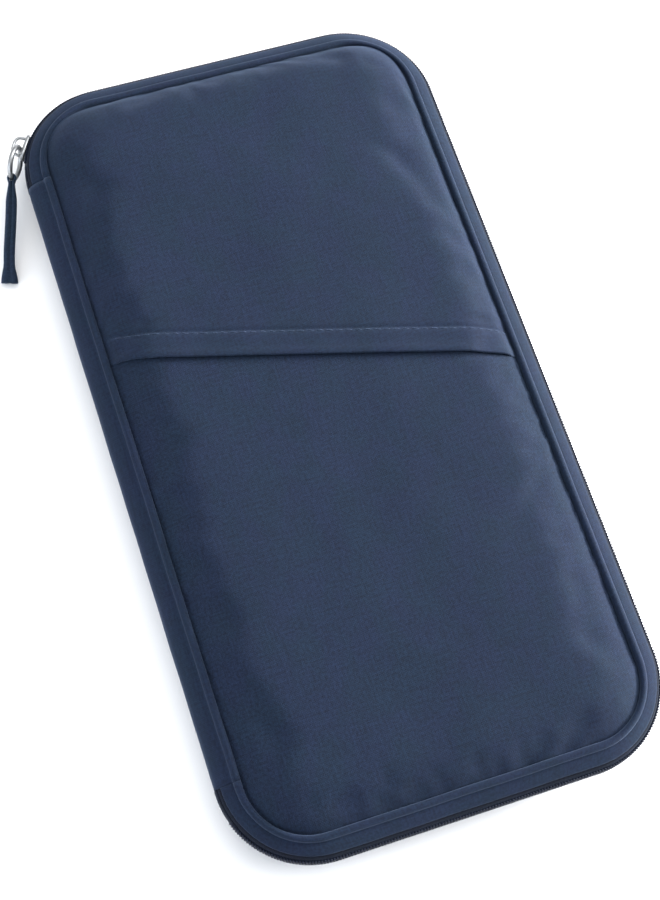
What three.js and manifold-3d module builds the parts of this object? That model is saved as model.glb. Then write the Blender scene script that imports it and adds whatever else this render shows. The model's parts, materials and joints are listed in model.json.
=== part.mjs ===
// Zip-around passport and travel document holder, closed, lying on its back cover.
// Millimetres, +Z up. The spine is on -X, the long side runs along Y, and the origin is the
// middle of the back cover's flat rest face.
import * as THREE from 'three';
import { mergeVertices } from 'three/addons/utils/BufferGeometryUtils.js';
import Module from 'manifold-3d';

// Overall size
const WIDTH = 130;
const LENGTH = 244;
const THICKNESS = 22;
const MID = THICKNESS / 2;
const OUTER_RADIUS = 27;

// Fit and layers
const GAP = 0.3;
const FABRIC = 1.0;
const CORNER_STEPS = 8;
const SMALLEST_RADIUS = 2;
const SEAM_INSET = 7.6;
const SEAM_HEIGHT = 5.2;
const FRONT_RISE = 4.5;
const BACK_FOAM_RISE = 1.2;
const LINING_INSET = 8.6;
const SPINE_END = 94.5;

// Edge zip and its slider
const SLIDER_ANGLE = 31;
const STOP_ANGLE = 16;
const COIL_INSET = 0.8;
const COIL_HEIGHT = 1.2;
const CORNER_X = WIDTH / 2 - OUTER_RADIUS;
const CORNER_Y = LENGTH / 2 - OUTER_RADIUS;
const SLIDER_PLATE = OUTER_RADIUS + 1.6;
const BRIDGE_HEIGHT = 2.45;

// Pull ring and fabric pull
const RING_RADIUS = 4.9;
const RING_WIRE = 0.65;
const PULL_LENGTH = 31.5;

// Slip pocket on the front: its mouth crosses the face on a slant
const HEM_MIDDLE_Y = 15;
const HEM_SLOPE = -0.27;

// Coin pocket zip, inside the back cover
const COIN_ZIP_Y = -25.4;
const COIN_ZIP_LENGTH = 90;
const COIN_CLOSED_X = 40;
const COIN_PULL_LENGTH = 13;

const NAVY = 0x3b4860;
const LINING_NAVY = 0x2c3548;
const ZIP_NAVY = 0x1f2738;
const FOAM_GREY = 0x8a8d92;
const BOARD_GREY = 0x6c6a66;
const wasm = await Module();
wasm.setup();
const model = new THREE.Group();

function fabric(color) {
  return new THREE.MeshStandardMaterial({ color, roughness: 0.9, metalness: 0 });
}

function metal() {
  return new THREE.MeshStandardMaterial({ color: 0xc4c6ca, roughness: 0.25, metalness: 1 });
}

function add(name, geometry, material, parent = model) {
  const mesh = new THREE.Mesh(geometry, material);
  mesh.name = name;
  parent.add(mesh);
  return mesh;
}

// Outlines: one ring of stations round the holder, clockwise from the spine's top end.
function cornerRadius(inset) {
  return Math.max(SMALLEST_RADIUS, OUTER_RADIUS - inset - 0.35 * Math.max(0, inset - 2.5));
}

function outline(inset) {
  const radius = cornerRadius(inset);
  const corners = [[-1, 1], [1, 1], [1, -1], [-1, -1]];
  const points = [[-WIDTH / 2 + inset, SPINE_END]];
  corners.forEach(([sideX, sideY], corner) => {
    for (let step = 0; step <= CORNER_STEPS; step += 1) {
      const angle = Math.PI - (corner + step / CORNER_STEPS) * (Math.PI / 2);
      points.push([
        sideX * (WIDTH / 2 - inset - radius) + radius * Math.cos(angle),
        sideY * (LENGTH / 2 - inset - radius) + radius * Math.sin(angle),
      ]);
    }
  });
  points.push([-WIDTH / 2 + inset, -SPINE_END]);
  return points;
}

// A closed solid from its vertices and triangles, with its faces turned outward.
function solid(vertices, triangles) {
  let volume = 0;
  for (const [a, b, c] of triangles) {
    const [p, q, r] = [vertices[a], vertices[b], vertices[c]];
    volume += p[0] * (q[1] * r[2] - q[2] * r[1]) + p[1] * (q[2] * r[0] - q[0] * r[2])
      + p[2] * (q[0] * r[1] - q[1] * r[0]);
  }
  const faces = volume < 0 ? triangles.map(([a, b, c]) => [a, c, b]) : triangles;
  const geometry = new THREE.BufferGeometry();
  geometry.setAttribute('position', new THREE.Float32BufferAttribute(vertices.flat(), 3));
  geometry.setIndex(faces.flat());
  return geometry;
}

// Quads between neighbouring rows of equal length; a wrapped direction closes on itself.
function grid(rows, columns, wrapRows, wrapColumns) {
  const triangles = [];
  for (let row = 0; row < (wrapRows ? rows : rows - 1); row += 1) {
    for (let column = 0; column < (wrapColumns ? columns : columns - 1); column += 1) {
      const nextRow = (row + 1) % rows;
      const nextColumn = (column + 1) % columns;
      const corner = row * columns + column;
      const beside = row * columns + nextColumn;
      const above = nextRow * columns + column;
      const across = nextRow * columns + nextColumn;
      triangles.push([corner, beside, across], [corner, across, above]);
    }
  }
  return triangles;
}

// A dished panel: the profile runs from the middle of one face, round the edge, to the other.
function plate(profile) {
  const vertices = [];
  profile.forEach(([inset, z]) => outline(inset).forEach(([x, y]) => vertices.push([x, y, z])));
  const count = vertices.length / profile.length;
  const triangles = grid(profile.length, count, false, true);
  const last = (profile.length - 1) * count;
  for (let i = 1; i < count - 1; i += 1) {
    triangles.push([0, i + 1, i], [last, last + i, last + i + 1]);
  }
  return solid(vertices, triangles);
}

// Triangles over a flat section, each turned the way that its points run.
function capTriangles(section) {
  const points = section.map(([x, y]) => new THREE.Vector2(x, y));
  const sign = Math.sign(THREE.ShapeUtils.area(points));
  return THREE.ShapeUtils.triangulateShape(points, []).map(([a, b, c]) => {
    const area = THREE.ShapeUtils.area([points[a], points[b], points[c]]);
    return Math.sign(area) === sign ? [a, b, c] : [a, c, b];
  });
}

// Rows of one closed section, joined into a solid; without caps the rows close into a ring.
function sweep(rows, section, capped) {
  const triangles = grid(rows.length, section.length, !capped, true);
  if (capped) {
    const last = (rows.length - 1) * section.length;
    capTriangles(section).forEach(([a, b, c]) => {
      triangles.push([a, c, b], [last + a, last + b, last + c]);
    });
  }
  return solid(rows.flat(), triangles);
}

// A section of [inset, height] points carried along the outline, all round or between stations.
function strip(section, first = 0, last = null) {
  const rings = section.map(([inset, z]) => outline(inset).map(([x, y]) => [x, y, z]));
  const stations = rings[0].map((_, station) => rings.map((ring) => ring[station]));
  if (last === null) {
    return sweep(stations, section, false);
  }
  return sweep(stations.slice(first, last), section, true);
}

// A straight strip along the spine, from one cross seam to the other.
function spineStrip(section) {
  const end = SPINE_END - GAP;
  const rows = [-end, end].map((y) => section.map(([inset, z]) => [-WIDTH / 2 + inset, y, z]));
  return sweep(rows, section, true);
}

function mirrored(points) {
  return points.map(([inset, z]) => [inset, THICKNESS - z]);
}

// A flat shape given a thickness, upward from z = 0.
function raised(shape, depth, curveSegments) {
  return new THREE.ExtrudeGeometry(shape, { depth, bevelEnabled: false, curveSegments });
}

// Flat rounded piece between two heights, from its lowest to its highest X and Y.
function flatPiece([x0, x1], [y0, y1], [z0, z1], radius = 3) {
  const shape = new THREE.Shape();
  shape.moveTo(x0 + radius, y0);
  shape.lineTo(x1 - radius, y0);
  shape.absarc(x1 - radius, y0 + radius, radius, -Math.PI / 2, 0);
  shape.absarc(x1 - radius, y1 - radius, radius, 0, Math.PI / 2);
  shape.absarc(x0 + radius, y1 - radius, radius, Math.PI / 2, Math.PI);
  shape.absarc(x0 + radius, y0 + radius, radius, Math.PI, Math.PI * 1.5);
  return raised(shape, z1 - z0, 4).translate(0, 0, z0);
}

function box([x0, x1], [y0, y1], [z0, z1]) {
  const geometry = new THREE.BoxGeometry(x1 - x0, y1 - y0, z1 - z0);
  return geometry.translate((x0 + x1) / 2, (y0 + y1) / 2, (z0 + z1) / 2);
}

function toManifold(geometry) {
  const bare = geometry.index ? geometry.clone() : geometry;
  bare.deleteAttribute('normal');
  bare.deleteAttribute('uv');
  const merged = mergeVertices(bare, 1e-4);
  return new wasm.Manifold(new wasm.Mesh({
    numProp: 3,
    vertProperties: new Float32Array(merged.attributes.position.array),
    triVerts: new Uint32Array(merged.index.array),
  }));
}

function toGeometry(manifold) {
  const mesh = manifold.getMesh();
  const geometry = new THREE.BufferGeometry();
  geometry.setAttribute('position', new THREE.Float32BufferAttribute(mesh.vertProperties, 3));
  geometry.setIndex([...mesh.triVerts]);
  return geometry;
}

function joined(geometries) {
  return toGeometry(geometries.map(toManifold).reduce((whole, next) => whole.add(next)));
}

// Domed outer face of a cover: steep out of the edge seam, then nearly flat to the middle.
function dome(edge, rise) {
  const steps = [[0, 0], [0.9, 0.33], [2.6, 0.64], [5.4, 0.87], [9.6, 0.97], [13, 1]];
  return steps.map(([inset, share]) => [SEAM_INSET + inset, edge + share * rise]);
}

function shell(outer, thickness) {
  const inner = outer.map(([inset, z]) => [inset, z - thickness]);
  return [...outer].reverse().concat(inner);
}

const frontEdge = MID + SEAM_HEIGHT;
const frontDome = dome(frontEdge, FRONT_RISE);
const backDome = dome(frontEdge, MID - SEAM_HEIGHT);

// Edge band of one cover: folded edge over the zip, slope, rolled ridge and seam.
const gussetSection = [
  [1.2, 13.0], [1.0, 13.8], [3.2, 15.6], [5.6, 17.0], [6.6, 17.0],
  [7.3, 16.3], [7.0, 15.6], [5.8, 15.6], [3.6, 14.4], [2.2, 13.1],
];
const tapeSection = [
  [1.7, 12.2], [1.7, 12.6], [2.4, 12.7], [3.9, 14.0],
  [6.0, 15.15], [6.2, 14.7], [4.2, 13.55], [2.7, 12.25],
];
const coilSection = Array.from({ length: 8 }, (_, i) => {
  const angle = (i / 8) * 2 * Math.PI;
  return [COIL_INSET + 0.6 * Math.cos(angle), MID + COIL_HEIGHT + 0.5 * Math.sin(angle)];
});
const bindingSection = [[7.7, 13.9], [8.4, 13.9], [8.4, 14.9], [7.7, 14.9]];
const foamSection = [
  [24, 19.4], [17, 19.2], [13, 18.5], [11, 17.6], [10.6, 17.2], [24, 17.2],
];
const boardSection = [[20, 16.9], [9.8, 16.9], [9.8, 16.1], [20, 16.1]];
const liningSection = [[20, 15.8], [LINING_INSET, 15.8], [LINING_INSET, 15.3], [20, 15.3]];
const stationCount = 2 + 4 * (CORNER_STEPS + 1);

// Stations of the outline between which the coils run: each starts on the first corner
const BACK_COIL_START = 3;
const FRONT_COIL_START = 5;
const COIL_END = stationCount - 3;

// Back cover, the side that the holder rests on
add('back_face_panel', plate(mirrored(shell(backDome, FABRIC))), fabric(NAVY));
const backFoamSection = foamSection.map(([inset, z]) => [inset, z + BACK_FOAM_RISE]);
add('back_foam_pad', plate(mirrored(backFoamSection)), fabric(FOAM_GREY));
add('back_stiffener_board', plate(mirrored(boardSection)), fabric(BOARD_GREY));
add('back_lining', plate(mirrored(liningSection)), fabric(LINING_NAVY));
add('back_gusset', strip(mirrored(gussetSection), 0, stationCount), fabric(NAVY));
add('back_zip_tape', strip(mirrored(tapeSection), 0, stationCount), fabric(ZIP_NAVY));
add('back_zip_coil', strip(mirrored(coilSection), BACK_COIL_START, COIL_END), fabric(ZIP_NAVY));
add('back_seam_binding', strip(mirrored(bindingSection)), fabric(LINING_NAVY));

// Front cover
const pocketDome = frontDome.map(([inset, z], i) => [inset + (i === 0 ? 0.1 : 0), z + FABRIC + GAP]);
const aboveHem = box([-100, 100], [0, 300], [0, 40])
  .rotateZ(Math.atan(HEM_SLOPE))
  .translate(0, HEM_MIDDLE_Y, 0);
const slipPocket = toManifold(plate(shell(pocketDome, FABRIC))).intersect(toManifold(aboveHem));
add('front_face_panel', plate(shell(frontDome, FABRIC)), fabric(NAVY));
add('slip_pocket_panel', toGeometry(slipPocket), fabric(NAVY));
add('front_foam_pad', plate(foamSection), fabric(FOAM_GREY));
add('front_stiffener_board', plate(boardSection), fabric(BOARD_GREY));
add('front_lining', plate(liningSection), fabric(LINING_NAVY));
add('front_gusset', strip(gussetSection, 0, stationCount), fabric(NAVY));
add('front_zip_tape', strip(tapeSection, 0, stationCount), fabric(ZIP_NAVY));
add('front_zip_coil', strip(coilSection, FRONT_COIL_START, COIL_END), fabric(ZIP_NAVY));
add('front_seam_binding', strip(bindingSection), fabric(LINING_NAVY));

// Spine, the strip that both covers hinge on, and its lining
const spineHalf = [
  [7.3, 16.3], [6.6, 17.0], [5.6, 17.0], [3.0, 15.9], [1.0, 14.2], [0.15, 12.6], [0, 11],
];
const spineInnerHalf = [
  [1.0, 11], [1.2, 12.2], [1.9, 13.6], [3.5, 14.9], [5.9, 15.9], [6.9, 15.6],
];
const spineLiningOuter = [[6.6, 15.1], [3.9, 14.5], [2.4, 13.2], [1.6, 12.0], [1.4, 11]];
const spineLiningInner = [[1.9, 11], [2.1, 11.8], [2.9, 12.8], [4.3, 14.0], [6.6, 14.5]];

// Full closed section from its front halves, outer line first and inner line second.
function bothSides(outer, inner) {
  const middleOuter = outer.slice(0, -1);
  const middleInner = inner.slice(1);
  return [
    ...outer, ...mirrored(middleOuter).reverse(),
    ...mirrored(middleInner).reverse(), ...inner,
  ];
}
add('spine_panel', spineStrip(bothSides(spineHalf, spineInnerHalf)), fabric(NAVY));
add('spine_lining', spineStrip(bothSides(spineLiningOuter, spineLiningInner)), fabric(LINING_NAVY));

// Pockets inside the front cover: four stepped card slots over a passport sleeve
const CARD_SLOT_MOUTH = 98;
const CARD_SLOT_STEP = 14;
const CARD_SLOT_DEPTH = 48;
const CARD_SLOT_TOP = 15.0;
const CARD_SLOT_LAYER = 0.8;
const POCKET_CLOTH = 0.5;
for (let slot = 0; slot < 4; slot += 1) {
  const mouth = CARD_SLOT_MOUTH - slot * CARD_SLOT_STEP;
  const top = CARD_SLOT_TOP - slot * CARD_SLOT_LAYER;
  const pocket = flatPiece([-48, 48], [mouth - CARD_SLOT_DEPTH, mouth], [top - POCKET_CLOTH, top]);
  add(`card_slot_${slot + 1}`, pocket, fabric(LINING_NAVY));
}
add('passport_pocket', flatPiece([-50, 50], [-104, 2], [14.5, 15.0], 12), fabric(LINING_NAVY));

// Pockets inside the back cover: a long ticket pocket with a zipped coin pocket on it
const COIN_RIGHT_X = COIN_CLOSED_X + 5;
const COIN_LEFT_X = COIN_RIGHT_X - COIN_ZIP_LENGTH;
const coinX = [COIN_LEFT_X, COIN_RIGHT_X];
const coinLayer = [7.8, 8.3];

function acrossCoinZip(near, far) {
  return near < far ? [COIN_ZIP_Y + near, COIN_ZIP_Y + far] : [COIN_ZIP_Y + far, COIN_ZIP_Y + near];
}

function coinCoilRow(side) {
  return box([coinX[0] + 2, coinX[1] - 2], acrossCoinZip(side * 0.6, side * 1.8), [8.5, 9.3]);
}
add('ticket_pocket', flatPiece([-47, 52], [-106, 60], [7.0, 7.5], 12), fabric(LINING_NAVY));
const coinPanel = flatPiece([-45, 50], [-102, COIN_ZIP_Y - 6.4], coinLayer, 10);
add('coin_pocket_panel', coinPanel, fabric(LINING_NAVY));
const coinTopStrip = flatPiece([-45, 50], acrossCoinZip(6.4, 19), coinLayer);
add('coin_pocket_top_strip', coinTopStrip, fabric(LINING_NAVY));
add('coin_zip_tape_lower', box(coinX, acrossCoinZip(-6.1, -2.1), coinLayer), fabric(ZIP_NAVY));
add('coin_zip_tape_upper', box(coinX, acrossCoinZip(2.1, 6.1), coinLayer), fabric(ZIP_NAVY));
add('coin_zip_coil_lower', coinCoilRow(-1), fabric(ZIP_NAVY));
add('coin_zip_coil_upper', coinCoilRow(1), fabric(ZIP_NAVY));

// Elastic pen loop beside the spine
const PEN_X = -50.5;
const PEN_Z = 10.4;
const PEN_LOOP_TOP_Y = -60;
const PEN_LOOP_WIDTH = 20;
const ELASTIC = 0.7;
const penLoop = new THREE.Shape();
penLoop.absellipse(PEN_X, PEN_Z, 5, 3.4, 0, 2 * Math.PI);
const penHole = new THREE.Path();
penHole.absellipse(PEN_X, PEN_Z, 5 - ELASTIC, 3.4 - ELASTIC, 0, 2 * Math.PI, true);
penLoop.holes.push(penHole);
const penLoopGeometry = raised(penLoop, PEN_LOOP_WIDTH, 12)
  .rotateX(Math.PI / 2)
  .translate(0, PEN_LOOP_TOP_Y, 0);
add('pen_loop', penLoopGeometry, fabric(ZIP_NAVY));

// Zip stops at both ends of the edge zip
function zipStop(name, side, [z0, z1]) {
  const stop = new THREE.Group();
  stop.position.set(-CORNER_X, side * CORNER_Y, 0);
  stop.rotation.z = side * THREE.MathUtils.degToRad(180 - STOP_ANGLE);
  model.add(stop);
  const radius = OUTER_RADIUS - COIL_INSET;
  add(name, box([radius - 0.8, radius + 0.7], [-1.2, 1.2], [z0, z1]), metal(), stop);
}
zipStop('zip_top_stop_front', 1, [MID + 0.5, MID + 1.8]);
zipStop('zip_top_stop_back', 1, [MID - 1.8, MID - 0.5]);
zipStop('zip_bottom_stop', -1, [MID - 1.8, MID - 0.3]);

// Edge zip slider. Its group has +X outward from the corner, +Y along the zip towards the spine
// and +Z up, with the corner's centre as origin.
const slider = new THREE.Group();
slider.position.set(-CORNER_X, CORNER_Y, MID);
slider.rotation.z = THREE.MathUtils.degToRad(180 - SLIDER_ANGLE);
model.add(slider);
const bridgeTop = SLIDER_PLATE + BRIDGE_HEIGHT;
const sliderPieces = [
  box([SLIDER_PLATE - 1.1, SLIDER_PLATE], [-4.2, 4.2], [-2.6, 2.6]),
  box([24.8, SLIDER_PLATE - 1], [-3.2, -0.8], [-0.3, 0.3]),
  box([23.9, 24.9], [-3.6, 3.6], [-1.0, 1.0]),
  box([SLIDER_PLATE - 0.1, bridgeTop + 1], [-3.4, -2.7], [-0.7, 0.7]),
  box([SLIDER_PLATE - 0.1, bridgeTop + 1], [2.7, 3.4], [-0.7, 0.7]),
  box([bridgeTop, bridgeTop + 1], [-3.4, 3.4], [-0.7, 0.7]),
];
add('edge_zip_slider', joined(sliderPieces), metal(), slider);

// Pull ring through the slider's bridge, trailing along the zip towards the spine
const ringHold = new THREE.Vector3(SLIDER_PLATE + 1.1, 0.33, -0.3);
const ringReach = new THREE.Vector3(-0.03, 0.98, -0.17).normalize();
const ringWireWay = new THREE.Vector3(0.12, 0.15, 0.98).projectOnPlane(ringReach).normalize();
const ringGeometry = new THREE.TorusGeometry(RING_RADIUS, RING_WIRE, 8, 24);
ringGeometry.applyMatrix4(new THREE.Matrix4().makeBasis(
  ringReach, ringWireWay, ringReach.clone().cross(ringWireWay),
));
const ring = add('pull_ring', ringGeometry, metal(), slider);
ring.position.copy(ringHold).addScaledVector(ringReach, RING_RADIUS);

// Folded fabric pull on the ring's far side, drooping to the surface that the holder lies on
slider.updateMatrixWorld(true);
const pullReach = 2 * RING_RADIUS + 1.1;
const pullStart = slider.localToWorld(ringHold.clone().addScaledVector(ringReach, pullReach));
const pullWay = new THREE.Vector3(-0.311, -0.918, -0.225).normalize();
const pullSections = [[0, 1.2, 1.3], [0.3, 1.3, 1.2], [0.8, 1.3, 1.0], [1, 2.3, 0.9]];
const pullRows = pullSections.map(([share, halfWidth, halfHeight]) => {
  const middle = pullStart.clone().addScaledVector(pullWay, share * PULL_LENGTH);
  const across = new THREE.Vector3(0, 0, 1).cross(pullWay).normalize();
  return [[-1, -1], [1, -1], [1, 1], [-1, 1]].map(([side, up]) => [
    middle.x + side * halfWidth * across.x,
    middle.y + side * halfWidth * across.y,
    middle.z + up * halfHeight,
  ]);
});
const pullSquare = [[-1, -1], [1, -1], [1, 1], [-1, 1]];
add('fabric_pull', sweep(pullRows, pullSquare, true), fabric(NAVY));

// Coin pocket slider with a pull that turns on its stud
const coinSlider = new THREE.Group();
coinSlider.position.set(COIN_CLOSED_X, COIN_ZIP_Y, 0);
model.add(coinSlider);

function stud(radius, z0, z1) {
  return new THREE.CylinderGeometry(radius, radius, z1 - z0, 16)
    .rotateX(Math.PI / 2)
    .translate(0, 0, (z0 + z1) / 2);
}
const coinSliderPieces = [
  box([-3.6, 3.6], [-1.7, 1.7], [7.8, 8.2]),
  box([0.6, 3.2], [-0.3, 0.3], [8.1, 9.7]),
  box([-3.6, 3.6], [-2.6, 2.6], [9.6, 10.4]),
  stud(0.6, 10.3, 12.0),
  stud(1.3, 11.9, 12.4),
];
add('coin_zip_slider', joined(coinSliderPieces), metal(), coinSlider);
const coinPull = new THREE.Shape();
coinPull.absarc(0, 0, 2.1, -Math.PI / 2, Math.PI / 2);
coinPull.lineTo(-COIN_PULL_LENGTH, 1.6);
coinPull.lineTo(-COIN_PULL_LENGTH, -1.6);
coinPull.closePath();
const coinEye = new THREE.Path();
coinEye.absarc(0, 0, 0.95, 0, 2 * Math.PI, true);
coinPull.holes.push(coinEye);
add('coin_zip_pull', raised(coinPull, 0.7, 8).translate(0, 0, 10.8), metal(), coinSlider);

export default model;
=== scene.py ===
"""Zip-around passport holder: navy woven shell, coil zip, metal ring and folded pull, fitted interior."""
import json
import math

import bmesh
import bpy
import numpy as np
from mathutils import Matrix, Vector, noise
from mathutils.bvhtree import BVHTree


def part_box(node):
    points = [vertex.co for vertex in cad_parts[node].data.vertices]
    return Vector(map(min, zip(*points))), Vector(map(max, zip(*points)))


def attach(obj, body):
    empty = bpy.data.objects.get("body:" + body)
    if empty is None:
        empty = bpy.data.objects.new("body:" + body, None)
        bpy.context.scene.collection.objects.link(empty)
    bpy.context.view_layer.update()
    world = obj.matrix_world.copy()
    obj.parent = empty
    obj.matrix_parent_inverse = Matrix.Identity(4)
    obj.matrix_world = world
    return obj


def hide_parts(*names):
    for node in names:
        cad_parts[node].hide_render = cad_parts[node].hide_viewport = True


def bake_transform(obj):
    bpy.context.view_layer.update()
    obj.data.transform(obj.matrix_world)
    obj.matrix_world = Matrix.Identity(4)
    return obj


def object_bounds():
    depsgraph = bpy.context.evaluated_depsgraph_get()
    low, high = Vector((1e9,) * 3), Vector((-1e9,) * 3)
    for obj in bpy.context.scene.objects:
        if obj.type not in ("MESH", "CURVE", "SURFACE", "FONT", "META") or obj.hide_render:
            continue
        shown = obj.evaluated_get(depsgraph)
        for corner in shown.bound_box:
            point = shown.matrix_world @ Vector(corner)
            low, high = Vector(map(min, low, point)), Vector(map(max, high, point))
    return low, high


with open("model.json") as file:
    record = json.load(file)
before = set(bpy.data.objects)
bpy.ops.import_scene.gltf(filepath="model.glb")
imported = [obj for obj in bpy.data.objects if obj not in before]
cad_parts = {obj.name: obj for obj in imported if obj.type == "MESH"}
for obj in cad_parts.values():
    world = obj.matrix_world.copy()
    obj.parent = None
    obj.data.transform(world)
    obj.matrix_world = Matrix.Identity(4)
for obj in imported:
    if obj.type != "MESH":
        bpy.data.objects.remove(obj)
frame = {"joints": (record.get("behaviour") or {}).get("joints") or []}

MM = 0.001
CAD_LOW, CAD_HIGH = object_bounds()

# ---------------------------------------------------------------- driving dimensions
# Most are read from the frame, and the rest match the CAD model
SPINE_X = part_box("spine_panel")[0].x
SPINE_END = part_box("spine_panel")[1].y + 0.3 * MM
HALF_WIDTH = -SPINE_X
HALF_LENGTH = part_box("back_zip_coil")[1].y + 0.2 * MM
MIDDLE_Z = frame["joints"][0]["pos_m"][2]
OUTER_RADIUS = 27 * MM
SMALLEST_RADIUS = 2 * MM
SEAM_INSET = HALF_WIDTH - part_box("front_face_panel")[1].x
FACE_EDGE_Z = 16.2 * MM
FACE_TOP_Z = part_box("front_face_panel")[1].z
PANEL_THICKNESS = 1.0 * MM
HEM_MIDDLE_Y = 15 * MM
HEM_SLOPE = -0.27
HEM_DEPTH = 8 * MM

# Points along the outline: on each corner, each short side and each long side
CORNER_STEPS = 18
SHORT_STEPS = 30
LONG_STEPS = 72

TOOTH_PITCH = 0.86 * MM
SLIDER_ANGLE = math.radians(31)


# ---------------------------------------------------------------- small helpers
def smooth_step(value, low, high):
    """0 below low, 1 above high and a smooth rise between."""
    share = np.clip((np.asarray(value, float) - low) / (high - low), 0, 1)
    return share * share * (3 - 2 * share)


def lumps(x, y, size, seed=0.0):
    """Smooth noise between -1 and 1 at a place, with lumps of about this size."""
    return noise.noise(Vector((x / size, y / size, seed)))


def corner_radius(inset):
    """Corner radius of the outline at an inset."""
    return max(SMALLEST_RADIUS, OUTER_RADIUS - inset - 0.35 * max(0.0, inset - 2.5 * MM))


def outline(inset, closed):
    """Stations of the outline at an inset, clockwise from the spine's top end, as x, y rows."""
    radius = corner_radius(inset)
    centre_x = HALF_WIDTH - inset - radius
    centre_y = HALF_LENGTH - inset - radius
    points = [(-HALF_WIDTH + inset, SPINE_END)]
    sides = [(-1, 1, SHORT_STEPS), (1, 1, LONG_STEPS), (1, -1, SHORT_STEPS), (-1, -1, 0)]
    for corner, (side_x, side_y, straight) in enumerate(sides):
        for step in range(CORNER_STEPS + 1):
            angle = math.pi - (corner + step / CORNER_STEPS) * math.pi / 2
            points.append((
                side_x * centre_x + radius * math.cos(angle),
                side_y * centre_y + radius * math.sin(angle),
            ))
        if straight:
            next_x, next_y = sides[corner + 1][:2]
            start = np.array(points[-1])
            angle = math.pi - (corner + 1) * math.pi / 2
            end = np.array([
                next_x * centre_x + radius * math.cos(angle),
                next_y * centre_y + radius * math.sin(angle),
            ])
            points += [tuple(start + (end - start) * k / straight) for k in range(1, straight)]
    points.append((-HALF_WIDTH + inset, -SPINE_END))
    if closed:
        for k in range(1, LONG_STEPS):
            points.append((-HALF_WIDTH + inset, -SPINE_END + 2 * SPINE_END * k / LONG_STEPS))
    return np.array(points)


def cut_corners(section, times):
    """Chaikin's corner cutting: a few control points become a smooth closed line."""
    points = np.array(section, float)
    for _ in range(times):
        following = np.roll(points, -1, axis=0)
        near = 0.75 * points + 0.25 * following
        far = 0.25 * points + 0.75 * following
        points = np.stack([near, far], axis=1).reshape(-1, points.shape[1])
    return points


def lengths(points, closed):
    """Distance run at each point of a line, and once more at its end if it closes."""
    ends = np.concatenate([points, points[:1]]) if closed else points
    steps = np.linalg.norm(np.diff(ends, axis=0), axis=1)
    return np.concatenate([[0], np.cumsum(steps)])


def add_object(name, data):
    """Object with this data, in the scene."""
    piece = bpy.data.objects.new(name, data)
    bpy.context.scene.collection.objects.link(piece)
    return piece


def new_object(name, vertices, faces, weave, material):
    """Mesh object with a UV layer in metres, called weave, which the cloth materials read."""
    mesh = bpy.data.meshes.new(name)
    mesh.from_pydata([tuple(v) for v in vertices], [], faces)
    layer = mesh.uv_layers.new(name="weave")
    layer.data.foreach_set("uv", np.array(weave, np.float32).ravel())
    mesh.materials.append(material)
    mesh.validate()
    mesh.update()
    mesh.shade_smooth()
    piece = add_object(name, mesh)
    return piece


def grid_object(name, points, close_rows, close_columns, material, caps=False):
    """Quads over rows of points; either direction can close on itself, and open rows can be capped."""
    rows, columns = points.shape[:2]
    row_run = lengths(points.mean(axis=1), close_rows)
    column_run = lengths(points[rows // 2], close_columns)
    faces, weave = [], []
    for r in range(rows if close_rows else rows - 1):
        for c in range(columns if close_columns else columns - 1):
            next_r, next_c = (r + 1) % rows, (c + 1) % columns
            faces.append((
                r * columns + c, r * columns + next_c,
                next_r * columns + next_c, next_r * columns + c,
            ))
            weave += [
                (row_run[r], column_run[c]), (row_run[r], column_run[c + 1]),
                (row_run[r + 1], column_run[c + 1]), (row_run[r + 1], column_run[c]),
            ]
    if caps:
        last = (rows - 1) * columns
        faces.append(tuple(reversed(range(columns))))
        faces.append(tuple(range(last, last + columns)))
        weave += [(0, column_run[c]) for c in reversed(range(columns))]
        weave += [(row_run[-1], column_run[c]) for c in range(columns)]
    piece = new_object(name, points.reshape(-1, 3), faces, weave, material)
    face_outward(piece)
    return piece


def face_outward(piece):
    """Turns the faces of a closed mesh outward."""
    work = bmesh.new()
    work.from_mesh(piece.data)
    bmesh.ops.recalc_face_normals(work, faces=work.faces)
    if work.calc_volume(signed=True) < 0:
        bmesh.ops.reverse_faces(work, faces=work.faces)
    work.to_mesh(piece.data)
    work.free()


def add_modifier(piece, kind, **settings):
    """Adds a modifier with its settings."""
    modifier = piece.modifiers.new(kind.lower(), kind)
    for key, value in settings.items():
        setattr(modifier, key, value)
    return modifier


def apply_modifiers(piece):
    """Bakes a piece's modifiers into its mesh."""
    graph = bpy.context.evaluated_depsgraph_get()
    mesh = bpy.data.meshes.new_from_object(piece.evaluated_get(graph))
    piece.modifiers.clear()
    piece.data = mesh


def wire_mesh(name, path, radius, material, sides=6, closed=False, flat=1.0):
    """Wire along a path of points, round or flattened."""
    path = np.asarray(path, float)
    ahead = np.roll(path, -1, axis=0) - np.roll(path, 1, axis=0)
    if not closed:
        ahead[0], ahead[-1] = path[1] - path[0], path[-1] - path[-2]
    ahead /= np.linalg.norm(ahead, axis=1)[:, None]
    guide = np.tile([0.0, 0.0, 1.0], (len(path), 1))
    guide[np.abs(ahead[:, 2]) > 0.9] = (0.31, 0.95, 0.05)
    side = np.cross(ahead, guide)
    side[0] /= np.linalg.norm(side[0])
    for k in range(1, len(path)):
        side[k] = side[k - 1] - ahead[k] * np.dot(side[k - 1], ahead[k])
        side[k] /= np.linalg.norm(side[k])
    third = np.cross(ahead, side)
    ring = np.arange(sides) * 2 * math.pi / sides
    points = path[:, None] + radius * (
        np.cos(ring)[None, :, None] * side[:, None] + flat * np.sin(ring)[None, :, None] * third[:, None]
    )
    return grid_object(name, points, closed, True, material, caps=not closed)


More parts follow.
